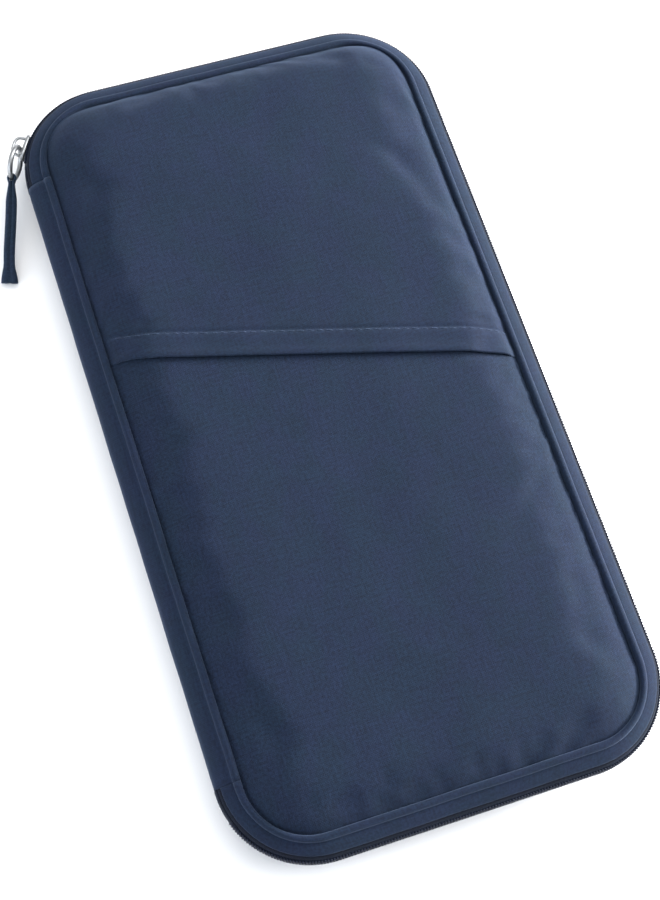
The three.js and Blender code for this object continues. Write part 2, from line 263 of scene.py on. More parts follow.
def join_pieces(name, parts):
    """One object from several, keeping each one's place."""
    work = bmesh.new()
    materials = []
    for part in parts:
        for material in part.data.materials:
            if material not in materials:
                materials.append(material)
        start = len(work.faces)
        copy = part.data.copy()
        copy.transform(part.matrix_basis)
        work.from_mesh(copy)
        work.faces.ensure_lookup_table()
        index = materials.index(part.data.materials[0])
        for face in work.faces[start:]:
            face.material_index = index
        bpy.data.meshes.remove(copy)
    mesh = bpy.data.meshes.new(name)
    work.to_mesh(mesh)
    work.free()
    for material in materials:
        mesh.materials.append(material)
    for part in parts:
        bpy.data.objects.remove(part)
    piece = add_object(name, mesh)
    return piece


def finish_piece(piece, body, slot, *nodes):
    """Rides on its body and stands for its CAD nodes, which it hides; its slot is not used."""
    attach(piece, body)
    if nodes:
        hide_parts(*nodes)
    return piece


def dress_cad_piece(node, material):
    """Gives its material to a CAD piece that keeps its own shape."""
    piece = bpy.data.objects[node]
    for material_slot in piece.material_slots:
        material_slot.material = material
    return piece


# ---------------------------------------------------------------- materials
class Nodes:
    """Short calls for building a material's node tree."""

    def __init__(self, name):
        self.material = bpy.data.materials.new(name)
        self.material.use_nodes = True
        self.tree = self.material.node_tree
        self.shader = self.tree.nodes["Principled BSDF"]

    def add(self, kind, **settings):
        node = self.tree.nodes.new(kind)
        for key, value in settings.items():
            setattr(node, key, value)
        return node

    def link(self, source, target):
        self.tree.links.new(source, target)

    def set(self, node, **values):
        for key, value in values.items():
            node.inputs[key.replace("_", " ")].default_value = value
        return node

    def maths(self, operation, first, second=None):
        node = self.add("ShaderNodeMath", operation=operation)
        for index, value in enumerate([first, second]):
            if value is None:
                continue
            if isinstance(value, (int, float)):
                node.inputs[index].default_value = value
            else:
                self.link(value, node.inputs[index])
        return node.outputs[0]

    def mix(self, factor, first, second, blend="MIX"):
        node = self.add("ShaderNodeMix", data_type="RGBA", blend_type=blend)
        for socket, value in ((node.inputs[0], factor), (node.inputs[6], first), (node.inputs[7], second)):
            if isinstance(value, (int, float)):
                socket.default_value = value
            elif isinstance(value, tuple):
                socket.default_value = (*value, 1.0)
            else:
                self.link(value, socket)
        return node.outputs[2]

    def noise(self, vector, scale, detail=2.0, roughness=0.5):
        node = self.add("ShaderNodeTexNoise")
        node.inputs["Scale"].default_value = scale
        node.inputs["Detail"].default_value = detail
        node.inputs["Roughness"].default_value = roughness
        self.link(vector, node.inputs["Vector"])
        return node.outputs["Fac"]

    def ramp(self, value, low, high):
        node = self.add("ShaderNodeMapRange")
        node.interpolation_type = "SMOOTHSTEP"
        self.link(value, node.inputs["Value"])
        node.inputs["From Min"].default_value = low
        node.inputs["From Max"].default_value = high
        return node.outputs["Result"]

    def stretched(self, vector, scale):
        node = self.add("ShaderNodeVectorMath", operation="MULTIPLY")
        self.link(vector, node.inputs[0])
        node.inputs[1].default_value = scale
        return node.outputs[0]

    def place(self):
        """Coordinates fixed to the object."""
        return self.add("ShaderNodeTexCoord").outputs["Object"]

    def paint(self, colour):
        """Leads a colour to the shader."""
        self.link(colour, self.shader.inputs["Base Color"])

    def bump(self, height, distance):
        node = self.add("ShaderNodeBump")
        node.inputs["Distance"].default_value = distance
        self.link(height, node.inputs["Height"])
        self.link(node.outputs["Normal"], self.shader.inputs["Normal"])


def woven(name, dark, light, pitch, relief, mottle=0.35, sheen=0.25):
    """Plain weave: warp and weft threads over and under, each thread a little lighter or darker."""
    n = Nodes(name)
    uv = n.add("ShaderNodeUVMap", uv_map="weave").outputs["UV"]
    place = n.place()
    parts = n.add("ShaderNodeSeparateXYZ")
    n.link(uv, parts.inputs[0])
    turn = math.pi / pitch
    along = n.maths("SINE", n.maths("MULTIPLY", parts.outputs["X"], turn))
    across = n.maths("SINE", n.maths("MULTIPLY", parts.outputs["Y"], turn))
    over = n.maths("MULTIPLY", along, across)
    warp = n.noise(n.stretched(uv, (1 / pitch, 0.045 / pitch, 1)), 0.9, 3.0, 0.7)
    weft = n.noise(n.stretched(uv, (0.045 / pitch, 1 / pitch, 1)), 0.9, 3.0, 0.7)
    threads = n.maths("MULTIPLY", n.maths("ADD", warp, weft), 0.5)
    specks = n.noise(n.stretched(uv, (0.45 / pitch, 0.45 / pitch, 1)), 1.0, 2.0, 0.6)
    heather = n.maths("ADD", n.maths("MULTIPLY", threads, 0.6), n.maths("MULTIPLY", specks, 0.4))
    tone = n.ramp(heather, 0.34, 0.66)
    colour = n.mix(tone, dark, light)
    cloud = n.ramp(n.noise(place, 34, 4.0, 0.65), 0.3, 0.7)
    shade = n.mix(n.maths("MULTIPLY", cloud, mottle), (1.0, 1.0, 1.0), (0.70, 0.74, 0.80))
    colour = n.mix(1.0, colour, shade, "MULTIPLY")
    drift = n.ramp(n.noise(n.stretched(place, (1, 0.7, 1)), 95, 3.0, 0.6), 0.35, 0.65)
    hue = n.mix(drift, (0.90, 1.03, 0.96), (1.10, 0.98, 1.06))
    colour = n.mix(1.0, colour, hue, "MULTIPLY")
    n.paint(colour)
    fuzz = n.noise(place, 2600, 2.0, 0.6)
    height = n.maths("ADD", n.maths("MULTIPLY", over, 0.25), n.maths("MULTIPLY", threads, 1.0))
    height = n.maths("ADD", height, n.maths("MULTIPLY", fuzz, 0.5))
    n.bump(height, relief)
    rough = n.maths("ADD", n.maths("MULTIPLY", threads, 0.16), 0.80)
    n.link(rough, n.shader.inputs["Roughness"])
    n.set(n.shader, Sheen_Weight=sheen, Sheen_Roughness=0.55, Specular_IOR_Level=0.17)
    n.shader.inputs["Sheen Tint"].default_value = (0.45, 0.62, 0.95, 1)
    return n.material


def metal(name, colour, roughness):
    """Bright plating with fine rubbing marks."""
    n = Nodes(name)
    place = n.place()
    worn = n.noise(place, 900, 4.0, 0.65)
    n.paint(n.mix(n.ramp(worn, 0.35, 0.75), colour, tuple(c * 0.82 for c in colour)))
    n.link(n.maths("ADD", n.maths("MULTIPLY", worn, 0.22), roughness), n.shader.inputs["Roughness"])
    n.bump(n.noise(n.stretched(place, (1, 1, 7)), 700, 2.0), 0.00003)
    n.set(n.shader, Metallic=1.0)
    return n.material


def nylon(name, colour):
    """Moulded zip coil: smooth plastic with a soft gloss."""
    n = Nodes(name)
    place = n.place()
    speck = n.noise(place, 1500, 2.0)
    n.paint(n.mix(speck, colour, tuple(min(1, c * 1.6) for c in colour)))
    n.link(n.maths("ADD", n.maths("MULTIPLY", speck, 0.2), 0.45), n.shader.inputs["Roughness"])
    n.bump(speck, 0.00003)
    n.set(n.shader, Specular_IOR_Level=0.18)
    return n.material


def foam(name, colour):
    """Open-cell foam."""
    n = Nodes(name)
    place = n.place()
    cells = n.add("ShaderNodeTexVoronoi")
    cells.inputs["Scale"].default_value = 1400
    n.link(place, cells.inputs["Vector"])
    # The hollow middle of each cell is painted darker: painted shade in the pores, following the same cells
    # as the bump.
    n.paint(n.mix(cells.outputs["Distance"], tuple(c * 0.6 for c in colour), colour))
    n.bump(cells.outputs["Distance"], 0.0003)
    n.set(n.shader, Roughness=0.95)
    return n.material


def board(name, colour):
    """Grey stiffener board with short fibres."""
    n = Nodes(name)
    place = n.place()
    fibres = n.noise(n.stretched(place, (1, 0.25, 1)), 1600, 4.0, 0.7)
    n.paint(n.mix(fibres, tuple(c * 0.7 for c in colour), colour))
    n.bump(fibres, 0.00006)
    n.set(n.shader, Roughness=0.85)
    return n.material


SHELL = woven(
    "navy_shell_cloth", (0.0020, 0.0050, 0.0145), (0.0066, 0.0150, 0.0360), 0.36 * MM, 0.00004, sheen=0.12,
)
LINING = woven(
    "navy_lining_cloth", (0.009, 0.014, 0.028), (0.023, 0.032, 0.056), 0.3 * MM, 0.00006, mottle=0.2,
)
TAPE = woven(
    "zip_tape_cloth", (0.0012, 0.0020, 0.0050), (0.0042, 0.0066, 0.0150), 0.34 * MM, 0.0001,
    mottle=0.15, sheen=0.06,
)
BINDING = woven(
    "binding_cloth", (0.008, 0.012, 0.024), (0.024, 0.033, 0.056), 0.36 * MM, 0.0001, mottle=0.15,
)
ELASTIC = woven(
    "ribbed_elastic", (0.005, 0.008, 0.016), (0.018, 0.025, 0.044), 0.8 * MM, 0.0003, mottle=0.1,
)
PULL_CLOTH = woven(
    "folded_pull_cloth", (0.0035, 0.0075, 0.018), (0.0125, 0.024, 0.047), 0.3 * MM, 0.00006, sheen=0.15,
)
THREAD = woven(
    "sewing_thread", (0.006, 0.011, 0.025), (0.020, 0.033, 0.060), 0.16 * MM, 0.00003, mottle=0.1,
)
COIL = nylon("zip_nylon", (0.0040, 0.0068, 0.0170))
NICKEL = metal("bright_nickel", (0.33, 0.34, 0.35), 0.32)
GUNMETAL = metal("dark_plating", (0.06, 0.065, 0.075), 0.3)
FOAM = foam("pad_foam", (0.42, 0.43, 0.46))
BOARD = board("stiffener_board", (0.34, 0.32, 0.29))


# ---------------------------------------------------------------- camera, light and floor
def make_camera():
    """Camera above and beyond the holder's lower left corner, rolled a little."""
    azimuth, elevation, roll = math.radians(32.06), math.radians(69.61), math.radians(14.4)
    target = Vector((-3.6 * MM, -10.4 * MM, MIDDLE_Z))
    distance, lens = 509.8 * MM, 70.07
    back = Vector((
        -math.sin(azimuth) * math.cos(elevation),
        -math.cos(azimuth) * math.cos(elevation),
        math.sin(elevation),
    ))
    data = bpy.data.cameras.new("camera")
    data.lens = lens
    data.sensor_width = 36
    data.clip_start = 0.01
    camera = add_object("camera", data)
    turn = (-back).to_track_quat("-Z", "Y").to_matrix() @ Matrix.Rotation(roll, 3, "Z")
    camera.matrix_world = Matrix.Translation(target + back * distance) @ turn.to_4x4()
    bpy.context.scene.camera = camera


def add_light(name, place, aim, size, power, colour=(1, 1, 1)):
    """Soft rectangular light at a place, turned towards its aim."""
    data = bpy.data.lights.new(name, "AREA")
    data.shape = "RECTANGLE"
    data.size, data.size_y = size
    data.energy = power
    data.color = colour
    light = add_object(name, data)
    way = Vector(aim) - Vector(place)
    light.matrix_world = Matrix.Translation(place) @ way.to_track_quat("-Z", "Y").to_matrix().to_4x4()


def make_studio():
    """Key and rim lights on the right, a broad top light, a weak fill on the left and a pale floor."""
    scene = bpy.context.scene
    scene.view_settings.view_transform = "Standard"
    add_light("key_light", (0.66, 0.22, 0.46), (0, 0, 0), (0.5, 0.45), 9.5)
    add_light("rim_light", (1.0, -0.05, 0.22), (0, 0, 0.01), (0.5, 0.25), 36)
    add_light("top_light", (0.1, 0.3, 1.2), (0, 0, 0), (1.6, 1.6), 18)
    add_light("fill_light", (-0.8, -0.3, 0.35), (0, 0, 0.01), (0.9, 0.6), 9, (0.86, 0.92, 1.0))
    world = bpy.data.worlds.new("studio")
    world.use_nodes = True
    world.node_tree.nodes["Background"].inputs["Color"].default_value = (0.92, 0.95, 1.0, 1)
    world.node_tree.nodes["Background"].inputs["Strength"].default_value = 0.3
    scene.world = world
    n = Nodes("pale_floor")
    place = n.place()
    n.paint(n.mix(n.noise(place, 6, 2.0), (0.93, 0.93, 0.94), (0.96, 0.96, 0.96)))
    n.set(n.shader, Roughness=0.9, Specular_IOR_Level=0.1)
    half = 3.0
    corners = [(-half, -half, 0), (half, -half, 0), (half, half, 0), (-half, half, 0)]
    floor = new_object("floor", corners, [(0, 1, 2, 3)], [(x, y) for x, y, _ in corners], n.material)
    floor.location.z = CAD_LOW.z - 0.05 * MM


make_camera()
make_studio()


# ---------------------------------------------------------------- padded faces
FACE_COLUMNS = 70
FACE_ROWS = 132
SETTLE_FRAMES = 20
SETTLE_CAP = 1.2 * MM
SINK_CAP = 0.5 * MM
PADDING_REACH = 15 * MM
PADDING_ROUNDNESS = 3.6
# The face's cloth runs on under the piping by this much
SEAM_TUCK = 0.45 * MM
# Insets of a panel's rings from its edge, in millimetres, closest where the padding rolls over
EDGE_RINGS = [0, 0.25, 0.6, 1.1, 1.8, 2.7, 3.8, 5.2, 7.0, 9.2, 11.6]


def ring_insets(start_inset):
    """Inset of each ring of a panel's grid: the edge rings, then even steps to the middle."""
    rings = [value * MM for value in EDGE_RINGS]
    room = HALF_WIDTH - start_inset
    left = FACE_COLUMNS // 2 - len(rings) + 1
    step = (room - rings[-1]) / left
    return rings + [rings[-1] + step * (k + 1) for k in range(left)]


def side_points(start, end, corner_start, corner_end, radius, steps):
    """Points from the middle of one rounded corner to the middle of the next, evenly spaced."""
    arc = radius * math.pi / 4
    straight = (Vector(end) - Vector(start)).length
    total = straight + 2 * arc
    points = []
    for k in range(steps):
        run = total * k / steps
        if run < arc:
            angle = corner_start - math.pi / 4 * (run / arc)
            points.append(("start", angle))
        elif run <= arc + straight:
            share = (run - arc) / straight if straight else 0
            points.append(("line", share))
        else:
            angle = corner_end - math.pi / 4 * ((run - arc - straight) / arc)
            points.append(("end", angle))
    return points


def rounded_ring(half_x, half_y, radius, columns, rows):
    """Clockwise points of a rounded rectangle from the middle of its top left corner."""
    centre_x, centre_y = half_x - radius, half_y - radius
    centres = [(-centre_x, centre_y), (centre_x, centre_y), (centre_x, -centre_y), (-centre_x, -centre_y)]
    counts = [columns, rows, columns, rows]
    ring = []
    for side in range(4):
        here, there = centres[side], centres[(side + 1) % 4]
        normal = math.pi / 2 - side * math.pi / 2
        for kind, value in side_points(here, there, normal + math.pi / 4, normal, radius, counts[side]):
            if kind == "line":
                base = Vector(here).lerp(Vector(there), value)
                angle = normal
            else:
                base = Vector(here if kind == "start" else there)
                angle = value
            ring.append((base.x + radius * math.cos(angle), base.y + radius * math.sin(angle)))
    return ring


def panel_plan(start_inset):
    """Plan of a rounded panel as a grid of x, y, with each point's inset from the panel's edge."""
    plan = np.zeros((FACE_ROWS + 1, FACE_COLUMNS + 1, 3))
    for k, inset in enumerate(ring_insets(start_inset)):
        total = inset + start_inset
        columns, rows = FACE_COLUMNS - 2 * k, FACE_ROWS - 2 * k
        half_x, half_y = max(HALF_WIDTH - total, 0), HALF_LENGTH - total
        if columns <= 0:
            for row in range(rows + 1):
                plan[k + row, k] = (0, half_y - 2 * half_y * row / rows, inset)
            continue
        radius = min(corner_radius(total), half_x)
        ring = rounded_ring(half_x, half_y, radius, columns, rows)
        cells = [(k, k + c) for c in range(columns)]
        cells += [(k + r, k + columns) for r in range(rows)]
        cells += [(k + rows, k + columns - c) for c in range(columns)]
        cells += [(k + rows - r, k) for r in range(rows)]
        for (row, column), (x, y) in zip(cells, ring):
            plan[row, column] = (x, y, inset)
    return plan


def padding(inset):
    """Share of the full height at an inset: a quick round rise, then nearly flat."""
    run = np.clip(np.asarray(inset) / PADDING_REACH, 0, 1)
    return 1 - (1 - run) ** PADDING_ROUNDNESS


PLAN = panel_plan(SEAM_INSET - SEAM_TUCK)


def face_height(x, y, inset):
    """Height of the cloth over its pad, with the slight unevenness of hand-laid foam."""
    share = padding(inset)
    swell = 0.55 * MM * lumps(x, y, 46 * MM, 3.1) + 0.2 * MM * lumps(x, y, 17 * MM, 7.7)
    pucker = 0.08 * MM * lumps(x, y, 7 * MM, 1.3) * float(smooth_step(inset, 0, 1.5 * MM))
    pucker *= float(1 - smooth_step(inset, 5 * MM, 14 * MM))
    rise = (FACE_TOP_Z - FACE_EDGE_Z) * share
    return FACE_EDGE_Z + rise + (swell - 0.3 * MM) * share ** 2 + pucker


def grid_cells(rows, columns):
    """First corner of each cell in a grid whose points are numbered row by row."""
    return [r * columns + c for r in range(rows - 1) for c in range(columns - 1)]


def face_panel(name, plan, heights, thickness, material):
    """Closed panel: the grid of heights on its outer side and the same, lower, on its inner side."""
    rows, columns = heights.shape
    top = np.dstack([plan[..., 0], plan[..., 1], heights]).reshape(-1, 3)
    under = top.copy()
    under[:, 2] -= np.broadcast_to(thickness, heights.shape).ravel()
    faces = []
    for a in grid_cells(rows, columns):
        b = a + columns
        faces.append((a, b, b + 1, a + 1))
        faces.append(tuple(len(top) + v for v in (a, a + 1, b + 1, b)))
    rim = [(0, c) for c in range(columns)] + [(r, columns - 1) for r in range(1, rows)]
    rim += [(rows - 1, c) for c in range(columns - 2, -1, -1)] + [(r, 0) for r in range(rows - 2, 0, -1)]
    loop = [r * columns + c for r, c in rim]
    for here, there in zip(loop, loop[1:] + loop[:1]):
        faces.append((here, there, len(top) + there, len(top) + here))
    vertices = np.concatenate([top, under])
    weave = [tuple(vertices[v][:2]) for face in faces for v in face]
    piece = new_object(name, vertices, faces, weave, material)
    face_outward(piece)
    return piece


def settled(heights):
    """Lets the cloth swell over its foam from the pinned seam, and returns its new heights."""
    rows, columns = heights.shape
    faces = [(a, a + columns, a + columns + 1, a + 1) for a in grid_cells(rows, columns)]
    mesh = bpy.data.meshes.new("settling_cloth")
    vertices = np.dstack([PLAN[..., 0], PLAN[..., 1], heights]).reshape(-1, 3)
    mesh.from_pydata([tuple(v) for v in vertices], [], faces)
    sheet = add_object("settling_cloth", mesh)
    pinned = sheet.vertex_groups.new(name="seam")
    pinned.add([int(i) for i in np.flatnonzero(PLAN[..., 2].ravel() < 0.1 * MM)], 1.0, "REPLACE")
    cloth = add_modifier(sheet, "CLOTH")
    settings = cloth.settings
    settings.quality = 6
    settings.mass = 0.25
    settings.tension_stiffness = settings.compression_stiffness = 12
    settings.shear_stiffness = 6
    settings.bending_stiffness = 0.6
    settings.vertex_group_mass = "seam"
    settings.use_pressure = True
    settings.uniform_pressure_force = 4
    settings.shrink_min = -0.02
    settings.effector_weights.gravity = 0
    cloth.point_cache.frame_start = 1
    cloth.point_cache.frame_end = SETTLE_FRAMES
    for step in range(1, SETTLE_FRAMES + 1):
        bpy.context.scene.frame_set(step)
    graph = bpy.context.evaluated_depsgraph_get()
    moved = sheet.evaluated_get(graph).data
    coordinates = np.empty(len(vertices) * 3, np.float32)
    moved.vertices.foreach_get("co", coordinates)
    rise = coordinates.reshape(-1, 3)[:, 2].reshape(heights.shape) - heights
    bpy.data.objects.remove(sheet)
    bpy.context.scene.frame_set(1)
    cap = np.where(rise > 0, SETTLE_CAP, SINK_CAP)
    return heights + cap * np.tanh(rise / cap)


FACE_HEIGHTS = settled(np.array([
    [face_height(x, y, inset) for x, y, inset in row] for row in PLAN
]))
front_face = face_panel("front_face", PLAN, FACE_HEIGHTS, PANEL_THICKNESS, SHELL)
finish_piece(front_face, "front_cover", "shell_fabric", "front_face_panel")


# ---------------------------------------------------------------- slip pocket with its folded hem
# Rows of points over the hem, in millimetres above the mouth
HEM_ROWS = (0.35, 0.8, 1.5, 2.6, 4.2, 6.0, 7.0, 7.5, 8.0, 8.5, 9.2, 10.5, 12.5)


def hem_distance(x, y):
    """How far a place is above the pocket's slanted mouth."""
    return (y - HEM_MIDDLE_Y - HEM_SLOPE * x) / math.hypot(1, HEM_SLOPE)


def cut_mouth(work):
    """Cuts the cloth away below its slanted mouth, with closer rows of points over the hem."""
    across = Vector((-HEM_SLOPE, 1, 0)).normalized()
    mouth = Vector((0, HEM_MIDDLE_Y, 0))
    for distance in HEM_ROWS:
        bmesh.ops.bisect_plane(
            work, geom=work.verts[:] + work.edges[:] + work.faces[:],
            plane_co=mouth + across * distance * MM, plane_no=across, dist=1e-6,
        )
    bmesh.ops.bisect_plane(
        work, geom=work.verts[:] + work.edges[:] + work.faces[:],
        plane_co=mouth, plane_no=across, dist=1e-6, clear_inner=True,
    )


def pocket_rise(x, y):
    """How far the pocket's cloth lies above the face: doubled hem, sewn groove and rolled mouth."""
    run = hem_distance(x, y)
    inset = min(HALF_WIDTH - abs(x), HALF_LENGTH - abs(y)) - SEAM_INSET
    edge = float(smooth_step(inset, -0.5 * MM, 3.0 * MM))
    hem = 0.35 * MM * float(1 - smooth_step(run, 6.4 * MM, 8.4 * MM))
    groove = 0.32 * MM * math.exp(-((run - HEM_DEPTH) / (0.55 * MM)) ** 2)
    roll = 0.22 * MM * math.exp(-((run - 1.2 * MM) / (1.0 * MM)) ** 2)
    ripple = 0.10 * MM * lumps(x, y, 9 * MM, 5.5) * float(1 - smooth_step(run, 4 * MM, 14 * MM))
    return edge * (0.95 * MM + hem + roll - groove + ripple) + 0.15 * MM


def make_slip_pocket():
    """Cloth over the upper face: a folded, stitched hem at its mouth and the edge seam elsewhere."""
    piece = face_panel("slip_pocket", PLAN, FACE_HEIGHTS, PANEL_THICKNESS, SHELL)
    work = bmesh.new()
    work.from_mesh(piece.data)
    work.verts.ensure_lookup_table()
    bmesh.ops.delete(work, geom=work.verts[FACE_HEIGHTS.size:], context="VERTS")
    cut_mouth(work)
    for vertex in work.verts:
        vertex.co.z += pocket_rise(vertex.co.x, vertex.co.y)
    weave_layer = work.loops.layers.uv["weave"]
    for face in work.faces:
        face.smooth = True
        for loop in face.loops:
            loop[weave_layer].uv = loop.vert.co.xy
    work.to_mesh(piece.data)
    work.free()
    piece.data.update()
    add_modifier(piece, "SOLIDIFY", thickness=0.8 * MM, offset=-1)
    add_modifier(piece, "SUBSURF", levels=1, render_levels=1)
    apply_modifiers(piece)
    piece.data.shade_smooth()
    return piece


slip_pocket = make_slip_pocket()
finish_piece(slip_pocket, "front_cover", "shell_fabric", "slip_pocket_panel")


# ---------------------------------------------------------------- edge bands and zip tapes
# Sections are control points in millimetres: the inset from the outline and the height
BAND_WOBBLE = 0.12 * MM
GUSSET_CONTROL = [
    (2.5, 14.1), (1.75, 14.15), (1.55, 14.65), (2.0, 15.1), (3.2, 15.75), (4.6, 16.3), (5.15, 16.35),
    (5.2, 17.15), (5.9, 17.75), (6.9, 17.7), (7.4, 17.0), (7.4, 15.6), (6.9, 15.25), (5.8, 15.75),
    (3.6, 15.15), (2.2, 14.4),
]


def sweep_section(name, section, closed, material, wobble=BAND_WOBBLE, seed=0.0, stations=slice(None)):
    """Carries a smooth section along the outline, a little uneven as sewn cloth is."""
    section = np.asarray(section)
    columns = []
    for inset, z in section:
        plan = outline(inset, closed)[stations]
        shift = np.array([lumps(x, y, 17 * MM, seed) for x, y in plan]) * wobble
        sway = np.array([lumps(x, y, 11 * MM, seed + 9) for x, y in plan]) * wobble
        away = np.sign(z - MIDDLE_Z) * shift
        plan = plan * (1 + sway / HALF_LENGTH)[:, None]
        columns.append(np.column_stack([plan, z + away]))
    points = np.stack(columns, axis=1)
    return grid_object(name, points, closed, True, material, caps=not closed)


def millimetres(points):
    """A section drawn in millimetres, in metres."""
    return [(a * MM, b * MM) for a, b in points]


def cloth_strip(name, body, node, section, closed, material, slot, times=2, wobble=BAND_WOBBLE, seed=0.0):
    """A sewn strip round the outline that stands for one CAD node; its section's corners are rounded."""
    smooth = cut_corners(millimetres(section), times)
    piece = sweep_section(name, smooth, closed, material, wobble, seed)
    return finish_piece(piece, body, slot, node)


def mirrored(section):
    """A section in millimetres, turned over for the other cover."""
    return [(inset, 2 * MIDDLE_Z / MM - z) for inset, z in section]


def both_covers(section):
    """Each cover's name with its section."""
    return (("front", section), ("back", mirrored(section)))


TAPE_CONTROL = [
    (1.6, 11.5), (0.9, 11.45), (0.6, 12.1), (0.62, 13.2), (1.3, 14.1), (3.2, 14.75), (6.0, 15.2),
    (6.2, 14.7), (4.2, 14.0), (2.4, 13.5), (1.7, 12.2),
]
TAPE_END_CONTROL = [(0.2, 11.15), (0.08, 12.0), (0.15, 13.0), (0.8, 13.6), (1.0, 12.0), (0.9, 11.15)]
TOP_TAPE_DEGREES = 13
BOTTOM_TAPE_DEGREES = 26
BINDING_CONTROL = [(7.65, 13.85), (8.45, 13.85), (8.5, 14.9), (7.6, 14.95)]
for seed, (cover, section) in enumerate(both_covers(GUSSET_CONTROL), 1):
    cloth_strip(
        f"{cover}_edge_band", f"{cover}_cover", f"{cover}_gusset", section, False, SHELL, "shell_fabric",
        seed=seed,
    )
for cover, section in both_covers(TAPE_CONTROL):
    cloth_strip(
        f"{cover}_tape", f"{cover}_cover", f"{cover}_zip_tape", section, False, TAPE, "zip_tape", wobble=0,
    )
for cover, section in both_covers(TAPE_END_CONTROL):
    section = cut_corners(millimetres(section), 2)
    for end, degrees in (("top", TOP_TAPE_DEGREES), ("bottom", BOTTOM_TAPE_DEGREES)):
        count = 2 + round(CORNER_STEPS * degrees / 90)
        stations = slice(None, count) if end == "top" else slice(-count, None)
        tape_end = sweep_section(f"{cover}_{end}_tape_end", section, False, TAPE, 0, stations=stations)
        finish_piece(tape_end, f"{cover}_cover", "zip_tape")
for cover, section in both_covers(BINDING_CONTROL):
    cloth_strip(
        f"{cover}_binding", f"{cover}_cover", f"{cover}_seam_binding", section, True, BINDING, "binding", 1,
    )


# ---------------------------------------------------------------- spine, blended across the covers
SPINE_HALF = [
    (7.4, 16.4), (7.4, 17.0), (6.9, 17.7), (5.9, 17.75), (5.2, 17.15), (5.1, 16.4), (3.0, 15.7), (1.0, 14.2),
    (0.15, 12.6),
]
SPINE_INNER_HALF = [(1.2, 12.2), (1.9, 13.6), (3.5, 14.9), (5.9, 15.9), (6.9, 15.6)]
SPINE_LINING_HALF = [(6.6, 15.1), (3.9, 14.5), (2.4, 13.2), (1.6, 12.0)]
SPINE_LINING_INNER = [(2.1, 11.8), (2.9, 12.8), (4.3, 14.0), (6.6, 14.5)]
SPINE_ROWS = 120
SEAM_CLOSING = 0.2 * MM


def spine_piece(name, node, outer, inner, material, wobble):
    """Cloth between the two covers, in one curve from the front seam round to the back seam."""
    low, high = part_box(node)
    section = outer + mirrored(reversed(outer)) + mirrored(reversed(inner)) + inner
    section = np.array(cut_corners(millimetres(section), 2))
    rows = []
    for y in np.linspace(low.y - SEAM_CLOSING, high.y + SEAM_CLOSING, SPINE_ROWS):
        sway = wobble * np.array([lumps(y, z * 3, 15 * MM, 4.0) for _, z in section])
        across = SPINE_X + section[:, 0] + sway
        rows.append(np.column_stack([across, np.full(len(section), y), section[:, 1]]))
    piece = grid_object(name, np.array(rows), False, True, material, caps=True)
    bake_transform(piece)
    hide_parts(node)
    return piece


spine_piece("spine_band", "spine_panel", SPINE_HALF, SPINE_INNER_HALF, SHELL, 0.15 * MM)
spine_piece(
    "spine_inner_cloth", "spine_lining", SPINE_LINING_HALF, SPINE_LINING_INNER, LINING, 0,
)


# ---------------------------------------------------------------- back face, pads, boards and linings
BACK_EDGE_Z = 2 * MIDDLE_Z - FACE_EDGE_Z
BACK_FLAT_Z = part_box("back_face_panel")[0].z
FOAM_GIVE = 1.0 * MM
FOAM_INSET = 0.5 * MM
LINING_SLACK = 0.09 * MM


def back_heights():
    """The underside: flat where it rests on the table, rounding up to the edge seam."""
    share = padding(PLAN[..., 2])
    return BACK_EDGE_Z + (BACK_FLAT_Z - BACK_EDGE_Z) * np.minimum(1, share * 1.03)


back_face = face_panel("back_face", PLAN, back_heights() + PANEL_THICKNESS, PANEL_THICKNESS, SHELL)
finish_piece(back_face, "back_cover", "shell_fabric", "back_face_panel")


def make_lining(name, body, node):
    """Lining cloth over the board, with slight slack."""
    low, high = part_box(node)
    plan = panel_plan(low.x - SPINE_X)
    slack = np.array([[LINING_SLACK * lumps(x, y, 24 * MM, 6.0) for x, y, _ in row] for row in plan])
    piece = face_panel(name, plan, high.z + slack - 0.03 * MM, high.z - low.z - 0.1 * MM, LINING)
    return finish_piece(piece, body, "lining_fabric", node)


make_lining("front_inner_lining", "front_cover", "front_lining")
make_lining("back_inner_lining", "back_cover", "back_lining")


def make_foam(name, body, node, facing):
    """Foam pad under the face cloth: flat against the board, rounded over at its outer edge."""
    low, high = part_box(node)
    plan = panel_plan(low.x - SPINE_X + FOAM_INSET)
    depth = (high.z - low.z - FOAM_GIVE) * (0.2 + 0.8 * padding(plan[..., 2]))
    heights = low.z + depth if facing > 0 else np.full(depth.shape, high.z)
    piece = face_panel(name, plan, heights, depth, FOAM)
    finish_piece(piece, body, "foam", node)


make_foam("front_foam", "front_cover", "front_foam_pad", 1)
make_foam("back_foam", "back_cover", "back_foam_pad", -1)
for cover in ("front", "back"):
    dress_cad_piece(f"{cover}_stiffener_board", BOARD)


# ---------------------------------------------------------------- edge zip coils
COIL_INSET = 0.35 * MM
COIL_SWAY = 0.3 * MM
COIL_MIDDLE = 1.12 * MM
COIL_REACH = 0.98 * MM
COIL_STEPS = 10
FILLER_MIDDLE = 1.15 * MM
WIRE = 0.27 * MM
CORNER_X = HALF_WIDTH - OUTER_RADIUS
CORNER_Y = HALF_LENGTH - OUTER_RADIUS
CORNER_ARC = OUTER_RADIUS * math.pi / 2
# Each straight stretch of the edge, with the signs of X and Y of the corner that follows it
EDGE_STRETCHES = [
    (CORNER_Y - SPINE_END, -1, 1),
    (2 * CORNER_X, 1, 1),
    (2 * CORNER_Y, 1, -1),
    (2 * CORNER_X, -1, -1),
]


